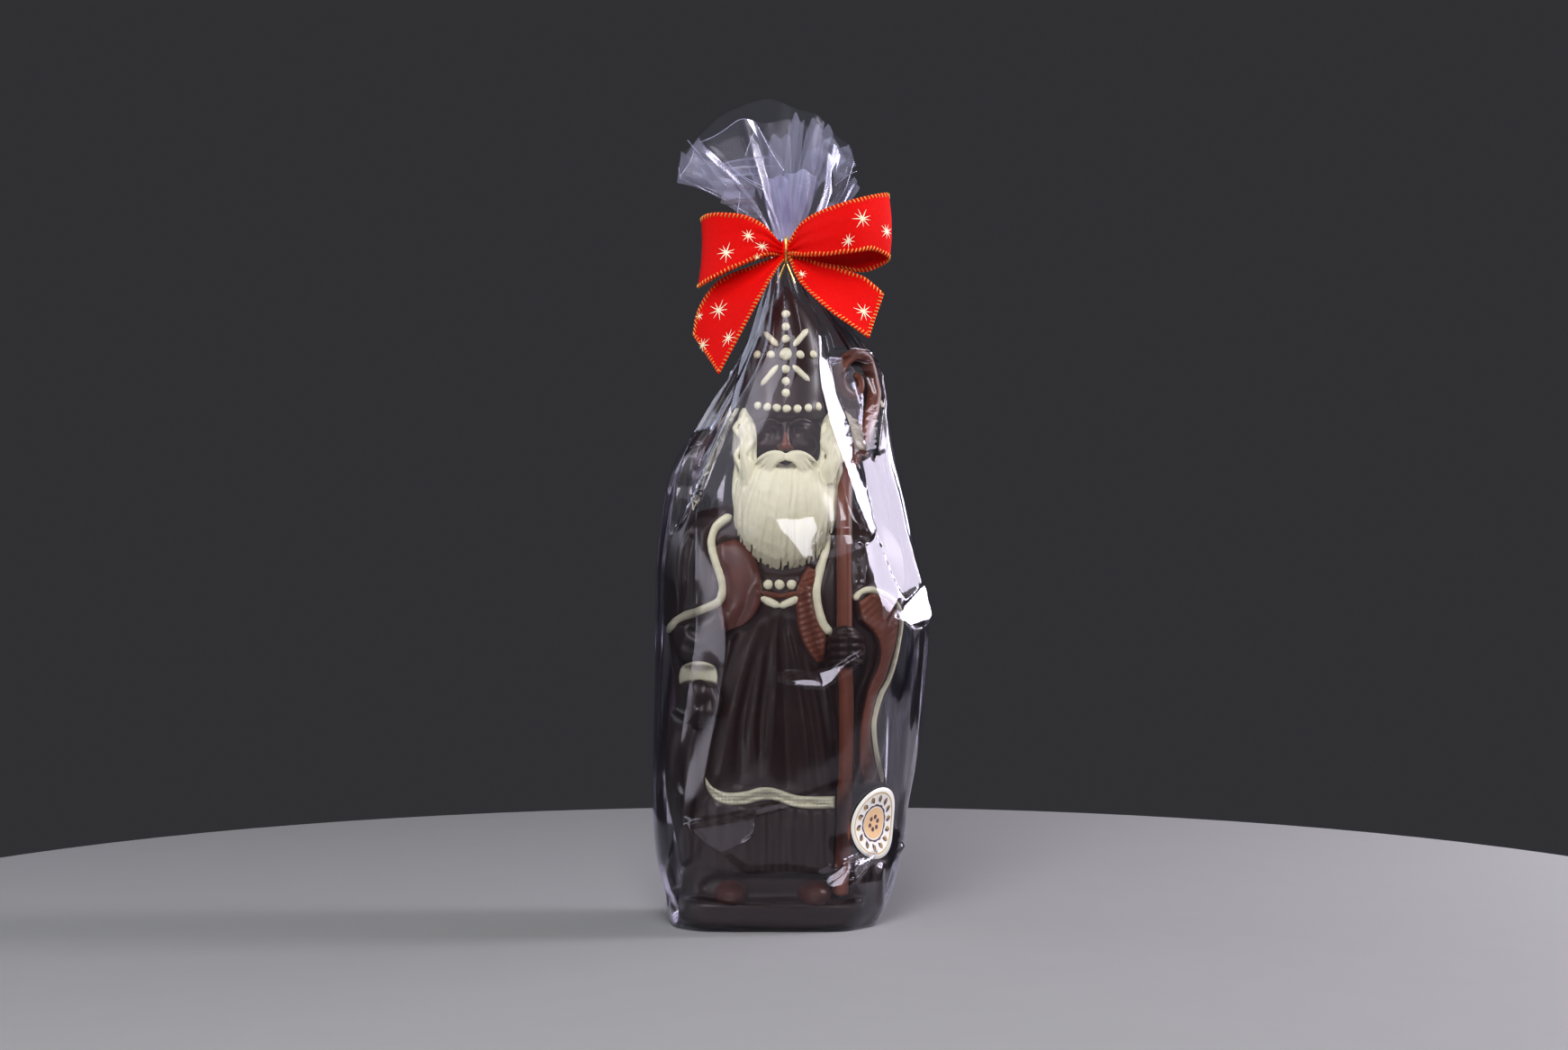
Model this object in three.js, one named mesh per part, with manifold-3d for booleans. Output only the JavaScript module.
// A chocolate bishop figure in its tied clear bag, standing upright and facing -Y.
// Units are millimetres, +Z is up, and the origin is on the floor under the middle of the object.
// The bag is one solid out to its film, as it is sealed round the figure.

import * as THREE from 'three';
import { mergeVertices } from 'three/addons/utils/BufferGeometryUtils.js';
import Module from 'manifold-3d';

const wasm = await Module();
wasm.setup();

// Driving dimensions.
const TIE_HEIGHT = 270;         // where the neck of the bag is tied
const NECK_TOP = 272;           // the film runs straight up through the tie and then flares
const NECK_X = -2.5;            // the neck leans a little to the left
const NECK_RADIUS = 5.6;        // the gathered film at the tie
const RUFFLE_MIDDLE_X = -10;    // the open mouth above the tie leans to the left
const RUFFLE_HALF_WIDTH = 36;
const RUFFLE_HALF_DEPTH = 22;
const RIM_SIDE_HEIGHT = 294;    // the rim is low at the sides and high at the front and back
const RIM_RISE = 33;
const PLEATS = 9;               // folds of film round the ruffle
const PLEAT_DEPTH = 5;
const TUFT = [4, 2, 323];       // the peak of the crumpled film inside the ruffle
const MOUTH = [[0.3, -9], [0.55, -14], [0.78, -9], [0.92, -1]];   // share of the way from rim to peak, and dip
const GATHERS = 12;             // small folds that run down from the tie
const GATHER_DEPTH = 1.3;
const BOTTOM_EDGE = 1.2;        // height of the small bevel under the bag
const BOTTOM_SHARE = [0.97, 0.96];  // size of the flat bottom as a share of the section above it
const BOTTOM_X = -7;            // the middle of the flat bottom
const RIBBON_THICKNESS = 0.9;
const KNOT_PLACE = [-2.5, -12, 269.7];  // the middle of the pinched ribbon, in front of the neck
const KNOT_RADII = [2.9, 3.3, 4.4];
const TIE_THICKNESS = 1.2;
const LABEL_RADIUS = 14.4;
const LABEL_THICKNESS = 0.4;
const LABEL_PLACE = [31.7, 41.5];   // x and z of the label's middle on the film
const GAP = 0.3;                // clearance between pieces that touch

// How the mesh is divided.
const AROUND = 72;
const BODY_RINGS = 32;
const RUFFLE_RINGS = 11;

// How far the film stands from the axis at each height, seen from the front and from the side.
const LEFT = [[0, 49], [7, 51], [30, 56], [60, 57.3], [135, 56.8], [160, 54.6], [184, 50.5], [201, 40],
  [225, 25.5], [250, 13.5], [266, 8.4], [270, 8.1]];
const RIGHT = [[0, 35], [7, 39], [30, 46], [62, 52], [105, 56.4], [122, 57.1], [150, 51.6], [176, 46.6],
  [212, 38.2], [230, 32.5], [250, 15], [264, 4.2], [270, 3.1]];
const FRONT = [[0, 30], [7, 32], [35, 36], [90, 38], [150, 36.5], [185, 32], [215, 25], [240, 16],
  [262, 7.4], [270, 5.6]];
const BACK = [[0, 30], [7, 32], [35, 35], [90, 37], [150, 35], [185, 31], [215, 24], [240, 15.5],
  [262, 7.2], [270, 5.6]];

// The flat panels of film between the four sides: direction in degrees from +X, and how far out the
// panel lies at each height, as a share of the round section there.
const PANELS = [
  { angle: -38, reach: [[0, 1.14], [16, 1.06], [42, 0.86], [76, 1.02], [120, 1.08], [165, 1.03], [235, 1.1]] },
  { angle: -136, reach: [[0, 1.22], [40, 1.16], [110, 1.02], [175, 1.08], [235, 1.0]] },
  { angle: 138, reach: [[0, 1.24], [60, 1.1], [150, 1.08], [235, 1.02]] },
  { angle: 41, reach: [[0, 1.22], [70, 1.14], [140, 1.03], [235, 1.08]] },
];

// Long creases in the film: direction in degrees low and high, the heights they run between, and how
// far the ridge stands out.
const CREASES = [
  { low: -52, high: -42, from: 50, to: 240, stand: 2.2 },
  { low: -150, high: -128, from: 70, to: 262, stand: 1.8 },
  { low: -112, high: -84, from: 150, to: 262, stand: 1.4 },
  { low: 172, high: 160, from: 20, to: 255, stand: 1.8 },
  { low: 98, high: 84, from: 60, to: 262, stand: 1.8 },
  { low: 36, high: 44, from: 10, to: 250, stand: 2.0 },
];
const CREASE_WIDTH = 0.075;

// A smooth curve through a few [height, value] stations.
function along(stations, height) {
  const last = stations.length - 1;
  const at = THREE.MathUtils.clamp(height, stations[0][0], stations[last][0]);
  let i = 0;
  while (i < last - 1 && at > stations[i + 1][0]) {
    i += 1;
  }
  const slope = (a, b) => (stations[b][1] - stations[a][1]) / (stations[b][0] - stations[a][0]);
  const before = i > 0 ? slope(i - 1, i + 1) : slope(0, 1);
  const after = i + 1 < last ? slope(i, i + 2) : slope(last - 1, last);
  const span = stations[i + 1][0] - stations[i][0];
  const t = (at - stations[i][0]) / span;
  return (2 * t ** 3 - 3 * t ** 2 + 1) * stations[i][1] + (t ** 3 - 2 * t ** 2 + t) * span * before
    + (3 * t ** 2 - 2 * t ** 3) * stations[i + 1][1] + (t ** 3 - t ** 2) * span * after;
}

// From 0 to 1 as value goes from low to high.
function fade(value, low, high) {
  return THREE.MathUtils.smoothstep(value, low, high);
}

// The section of the bag at a height is a rounded polygon: four sides and four flat panels.
function sectionRadius(angle, height) {
  const middle = (along(RIGHT, height) - along(LEFT, height)) / 2;
  const halfWidth = (along(RIGHT, height) + along(LEFT, height)) / 2;
  const sides = [
    [0, halfWidth],
    [-Math.PI / 2, along(FRONT, height)],
    [Math.PI, halfWidth],
    [Math.PI / 2, along(BACK, height)],
  ];
  for (const panel of PANELS) {
    const direction = THREE.MathUtils.degToRad(panel.angle);
    const depth = direction < 0 ? along(FRONT, height) : along(BACK, height);
    const round = 1 / Math.hypot(Math.cos(direction) / halfWidth, Math.sin(direction) / depth);
    sides.push([direction, round * along(panel.reach, height)]);
  }
  const sharpness = 12 - 5 * fade(height, 120, 250);
  let sum = 0;
  for (const [direction, distance] of sides) {
    sum += Math.max(Math.cos(angle - direction), 0) ** sharpness / distance ** sharpness;
  }
  return { middle, radius: sum ** (-1 / sharpness) };
}

// Creases stand out as sharp ridges with hollow flanks.
function creaseHeight(angle, height) {
  let stand = 0;
  for (const crease of CREASES) {
    const t = (height - crease.from) / (crease.to - crease.from);
    if (t > 0 && t < 1) {
      const middle = THREE.MathUtils.degToRad(crease.low + (crease.high - crease.low) * t);
      const away = Math.abs(Math.atan2(Math.sin(angle - middle), Math.cos(angle - middle)));
      stand += crease.stand * Math.sin(Math.PI * t) ** 0.5 * Math.exp(-away / CREASE_WIDTH);
    }
  }
  return stand;
}

// Small folds gather towards the tie and die out lower down.
function gatherHeight(angle, height) {
  const depth = GATHER_DEPTH * fade(height, 185, 252) * (1 - 0.45 * fade(height, 258, 270));
  return depth * (Math.abs(Math.sin(GATHERS * angle / 2 + 0.7 * Math.sin(2 * angle))) - 0.55);
}

// A point of the film below the tie.
function bodyPoint(angle, height) {
  const { middle, radius } = sectionRadius(angle, height);
  const reach = radius + creaseHeight(angle, height) + gatherHeight(angle, height);
  return new THREE.Vector3(middle + reach * Math.cos(angle), reach * Math.sin(angle), height);
}

// How far the film of the ruffle stands in or out, from -1 to 1 round the rim.
function pleat(angle) {
  const main = Math.sin(PLEATS * angle + 0.8 * Math.sin(2 * angle + 1));
  return 0.75 * main + 0.25 * Math.sin(5 * angle + 2);
}

// A point of the ruffle, from the tie (share 0) to the rim (share 1).
function rufflePoint(angle, share) {
  const start = bodyPoint(angle, NECK_TOP);
  const rise = Math.sqrt(Math.sin(angle) ** 2 + 0.02);
  const rimX = RUFFLE_MIDDLE_X + RUFFLE_HALF_WIDTH * Math.cos(angle);
  const rimY = RUFFLE_HALF_DEPTH * Math.sin(angle);
  const rimZ = RIM_SIDE_HEIGHT + RIM_RISE * rise;
  const lean = 0.28 * Math.cos(angle);
  const out = share ** (1 - lean);
  const up = share ** (1 + lean);
  const fold = PLEAT_DEPTH * share * pleat(angle) * (0.55 + 0.45 * Math.abs(Math.sin(angle)));
  return new THREE.Vector3(
    start.x + (rimX - start.x) * out + fold * Math.cos(angle),
    start.y + (rimY - start.y) * out + fold * Math.sin(angle),
    start.z + (rimZ - start.z) * up + 1.5 * share * pleat(angle + 0.4),
  );
}

// A closed skin from rings of points, with a fan at each end.
function closedSkin(rings, bottom, top) {
  const count = rings[0].length;
  const points = [bottom, ...rings.flat(), top];
  const index = [];
  for (let j = 0; j < count; j += 1) {
    const next = (j + 1) % count;
    index.push(0, 1 + next, 1 + j);
    for (let i = 0; i + 1 < rings.length; i += 1) {
      const low = 1 + i * count;
      const high = low + count;
      index.push(low + j, low + next, high + next);
      index.push(low + j, high + next, high + j);
    }
    const rim = 1 + (rings.length - 1) * count;
    index.push(rim + j, rim + next, points.length - 1);
  }
  const geometry = new THREE.BufferGeometry();
  geometry.setAttribute('position', new THREE.Float32BufferAttribute(points.flatMap((p) => p.toArray()), 3));
  geometry.setIndex(index);
  return geometry;
}

function ring(pointAt) {
  return Array.from({ length: AROUND }, (_, j) => pointAt(2 * Math.PI * j / AROUND));
}

// The bag: flat block bottom, body, gathered neck, pleated ruffle and the crumpled film in its mouth.
function bagGeometry() {
  const rings = [ring((angle) => {
    const p = bodyPoint(angle, 0);
    return new THREE.Vector3(p.x * BOTTOM_SHARE[0], p.y * BOTTOM_SHARE[1], 0);
  })];
  const rise = TIE_HEIGHT - 2 - BOTTOM_EDGE;
  for (let i = 0; i <= BODY_RINGS; i += 1) {
    const t = i / BODY_RINGS;
    const height = BOTTOM_EDGE + rise * (t - 0.55 * Math.sin(2 * Math.PI * t) / (2 * Math.PI));
    rings.push(ring((angle) => bodyPoint(angle, height)));
  }
  rings.push(ring((angle) => bodyPoint(angle, TIE_HEIGHT)));
  rings.push(ring((angle) => bodyPoint(angle, NECK_TOP)));
  for (let i = 1; i <= RUFFLE_RINGS; i += 1) {
    rings.push(ring((angle) => rufflePoint(angle, i / RUFFLE_RINGS)));
  }
  const tuft = new THREE.Vector3(...TUFT);
  for (const [inward, dip] of MOUTH) {
    rings.push(ring((angle) => {
      const p = rufflePoint(angle, 1).lerp(tuft, inward);
      return p.setZ(p.z + dip);
    }));
  }
  return closedSkin(rings, new THREE.Vector3(BOTTOM_X, 0, 0), tuft);
}

// A band of ribbon between two edge curves, as a solid of even thickness.
function bandGeometry(edgeA, edgeB, steps, crown) {
  const across = 4;
  const curveA = new THREE.CatmullRomCurve3(edgeA.map((p) => new THREE.Vector3(...p)));
  const curveB = new THREE.CatmullRomCurve3(edgeB.map((p) => new THREE.Vector3(...p)));
  const middle = (t) => curveA.getPoint(t).lerp(curveB.getPoint(t), 0.5);
  const rings = [];
  for (let i = 0; i <= steps; i += 1) {
    const t = i / steps;
    const a = curveA.getPoint(t);
    const b = curveB.getPoint(t);
    const forward = middle(Math.min(t + 0.01, 1)).sub(middle(Math.max(t - 0.01, 0)));
    const normal = b.clone().sub(a).cross(forward).normalize();
    const bulge = crown * Math.sin(Math.PI * THREE.MathUtils.clamp(t, 0.02, 0.98)) ** 0.5;
    const face = (side) => Array.from({ length: across + 1 }, (_, k) => {
      const s = k / across;
      const offset = bulge * 4 * s * (1 - s) + side * RIBBON_THICKNESS / 2;
      return a.clone().lerp(b, s).addScaledVector(normal, offset);
    });
    rings.push([...face(1), ...face(-1).reverse()]);
  }
  const centre = (points) => points.reduce((sum, p) => sum.add(p), new THREE.Vector3()).divideScalar(points.length);
  return closedSkin(rings, centre(rings[0]), centre(rings[steps]));
}

// The closed mesh as a solid that can be joined to others.
function solid(geometry) {
  const plain = geometry.clone();
  plain.deleteAttribute('normal');
  plain.deleteAttribute('uv');
  const merged = mergeVertices(plain, 1e-4);
  const mesh = new wasm.Mesh({
    numProp: 3,
    vertProperties: new Float32Array(merged.attributes.position.array),
    triVerts: new Uint32Array(merged.index.array),
  });
  mesh.merge();
  return new wasm.Manifold(mesh);
}

function joined(geometries) {
  const whole = geometries.map(solid).reduce((sum, piece) => sum.add(piece));
  const mesh = whole.getMesh();
  const geometry = new THREE.BufferGeometry();
  geometry.setAttribute('position', new THREE.Float32BufferAttribute(mesh.vertProperties, 3));
  geometry.setIndex(new THREE.Uint32BufferAttribute(mesh.triVerts, 1));
  return geometry;
}

// The bow: two loops, two tails and the pinched middle, from one ribbon.
function bowGeometry() {
  const leftLoop = bandGeometry(
    [[-4, -14, 272], [-11, -19, 279], [-19, -22.5, 282.5], [-28, -22, 283.5], [-34, -18, 283.4],
      [-36, -13, 282], [-33, -8.5, 280.5], [-22, -9, 280], [-12, -10.5, 277], [-4, -11.4, 272]],
    [[-3.6, -14, 267.8], [-11, -21, 266.8], [-20, -24, 262.8], [-29, -23, 258.8], [-36, -18, 255.2],
      [-37.5, -13, 254.8], [-34, -9.5, 257], [-22, -10.5, 263], [-12, -11, 266.5], [-3.6, -11.4, 267.8]],
    30,
    1.2,
  );
  const rightLoop = bandGeometry(
    [[-1.4, -14, 272], [4, -19, 280], [12, -23, 284.4], [23, -23.5, 288.2], [33, -20, 291],
      [38.4, -14.5, 292], [36, -9, 289], [23, -9, 284.5], [9, -10.5, 279], [-1.4, -11.4, 272]],
    [[-1.6, -14, 267.6], [4.6, -21, 266.6], [12.5, -25, 266.4], [24, -26, 267.6], [32, -22, 268.8],
      [38.4, -15.5, 266.2], [35, -10.5, 263.6], [27.5, -10.5, 261.4], [12.5, -11.4, 263.6],
      [-1.6, -11.4, 267.6]],
    30,
    1.2,
  );
  const leftTail = bandGeometry(
    [[-4, -12.6, 268.4], [-14, -15.5, 264], [-26, -14.5, 259.4], [-33, -12.5, 253.6], [-38, -11, 244.6],
      [-39.6, -10.5, 236]],
    [[-3, -13.6, 267.4], [-8, -21, 258.5], [-12.7, -24.5, 249.6], [-18.8, -25.5, 238.8],
      [-24.4, -25.5, 228.4], [-29, -25, 219.6]],
    14,
    1.0,
  );
  const rightTail = bandGeometry(
    [[-1.4, -12.6, 268.6], [8.5, -15.5, 265], [18.5, -16.5, 262], [28, -16.5, 259], [32.8, -16, 255.4],
      [36.4, -15, 252]],
    [[-2, -13.6, 267.4], [2, -20.5, 258], [8, -24, 250.8], [16.4, -25, 243.2], [23.6, -24.5, 238.4],
      [30.2, -23, 234]],
    14,
    -1.0,
  );
  const knot = new THREE.SphereGeometry(1, 16, 10).rotateX(Math.PI / 2).scale(...KNOT_RADII);
  knot.translate(...KNOT_PLACE);
  return joined([leftLoop, rightLoop, leftTail, rightTail, knot]);
}

// A closed ring of wire with an oval centre line.
function ovalRing(radiusA, radiusB, tubeRadius) {
  const oval = Array.from({ length: 16 }, (_, j) => {
    const angle = 2 * Math.PI * j / 16;
    return new THREE.Vector3(radiusA * Math.cos(angle), radiusB * Math.sin(angle), 0);
  });
  return new THREE.TubeGeometry(new THREE.CatmullRomCurve3(oval, true), 28, tubeRadius, 6, true);
}

// The tie: a ring round the neck, a ring round the pinched ribbon, and the twisted ends behind.
function tieGeometry() {
  const wire = TIE_THICKNESS / 2;
  const neckInside = NECK_RADIUS + 0.9;
  const neckRing = ovalRing(neckInside + wire, neckInside + wire, wire);
  neckRing.translate(NECK_X, 0, TIE_HEIGHT);
  const knotRing = ovalRing(KNOT_RADII[1] + GAP + wire, KNOT_RADII[2] + GAP + wire, wire);
  knotRing.rotateX(Math.PI / 2).rotateZ(Math.PI / 2);
  knotRing.translate(...KNOT_PLACE);
  const pieces = [neckRing, knotRing];
  for (const side of [-1, 1]) {
    const back = neckInside + wire;
    const end = new THREE.CatmullRomCurve3([
      new THREE.Vector3(NECK_X + side * 0.7, back - 0.4, TIE_HEIGHT),
      new THREE.Vector3(NECK_X - side * 0.6, back + 2.2, TIE_HEIGHT - 1.5),
      new THREE.Vector3(NECK_X + side * 0.9, back + 4.6, TIE_HEIGHT - 5),
      new THREE.Vector3(NECK_X + side * 3.4, back + 6.6, TIE_HEIGHT - 11),
    ]);
    const section = new THREE.Shape().absarc(0, 0, wire * 0.9, 0, 2 * Math.PI);
    pieces.push(new THREE.ExtrudeGeometry(section, { steps: 9, curveSegments: 3, extrudePath: end }));
  }
  return joined(pieces);
}

// The point of the film straight out from the axis through a point, moved out by a distance.
function onFilm(target, distance) {
  const { middle } = sectionRadius(0, target.z);
  const angle = Math.atan2(target.y, target.x - middle);
  const point = bodyPoint(angle, target.z);
  const beside = bodyPoint(angle + 0.02, target.z).sub(bodyPoint(angle - 0.02, target.z));
  const above = bodyPoint(angle, target.z + 1).sub(bodyPoint(angle, target.z - 1));
  return point.addScaledVector(beside.cross(above).normalize(), distance);
}

// The round label: a thin disc that lies on the film low on the right.
function labelGeometry() {
  const [x, z] = LABEL_PLACE;
  const { middle } = sectionRadius(0, z);
  let angle = -0.6;
  for (let i = 0; i < 20; i += 1) {
    angle -= (bodyPoint(angle, z).x - x) * 0.02;
  }
  const centre = bodyPoint(angle, z);
  const side = bodyPoint(angle + 0.12, z).sub(bodyPoint(angle - 0.12, z)).normalize();
  const out = side.clone().cross(bodyPoint(angle, z + 8).sub(bodyPoint(angle, z - 8))).normalize();
  const up = out.clone().cross(side).normalize();
  const disc = (radius, distance) => Array.from({ length: 40 }, (_, j) => {
    const turn = 2 * Math.PI * j / 40;
    const target = centre.clone().addScaledVector(side, radius * Math.cos(turn));
    return onFilm(target.addScaledVector(up, radius * Math.sin(turn)), distance);
  });
  const near = GAP + 0.1;
  const far = near + LABEL_THICKNESS;
  const radii = [4, 8, 11.5, LABEL_RADIUS];
  const rings = radii.map((radius) => disc(radius, near));
  rings.push(...radii.toReversed().map((radius) => disc(radius, far)));
  return closedSkin(rings, onFilm(centre, near), onFilm(centre, far));
}

// The finishes.
const film = new THREE.MeshStandardMaterial({ color: 0x6f5f66, roughness: 0.12, metalness: 0 });
const ribbon = new THREE.MeshStandardMaterial({ color: 0xc8140c, roughness: 0.5, metalness: 0 });
const gold = new THREE.MeshStandardMaterial({ color: 0xc9953c, roughness: 0.35, metalness: 0.8 });
const paper = new THREE.MeshStandardMaterial({ color: 0xf1ead9, roughness: 0.55, metalness: 0 });

const figure = new THREE.Group();

function addPiece(name, geometry, material) {
  const mesh = new THREE.Mesh(geometry, material);
  mesh.name = name;
  figure.add(mesh);
}

addPiece('bag', bagGeometry(), film);
addPiece('ribbon_bow', bowGeometry(), ribbon);
addPiece('twist_tie', tieGeometry(), gold);
addPiece('round_label', labelGeometry(), paper);

// The origin goes to the middle of the footprint.
const box = new THREE.Box3().setFromObject(figure);
const middle = box.getCenter(new THREE.Vector3());
figure.position.set(-middle.x, -middle.y, 0);

export default figure;
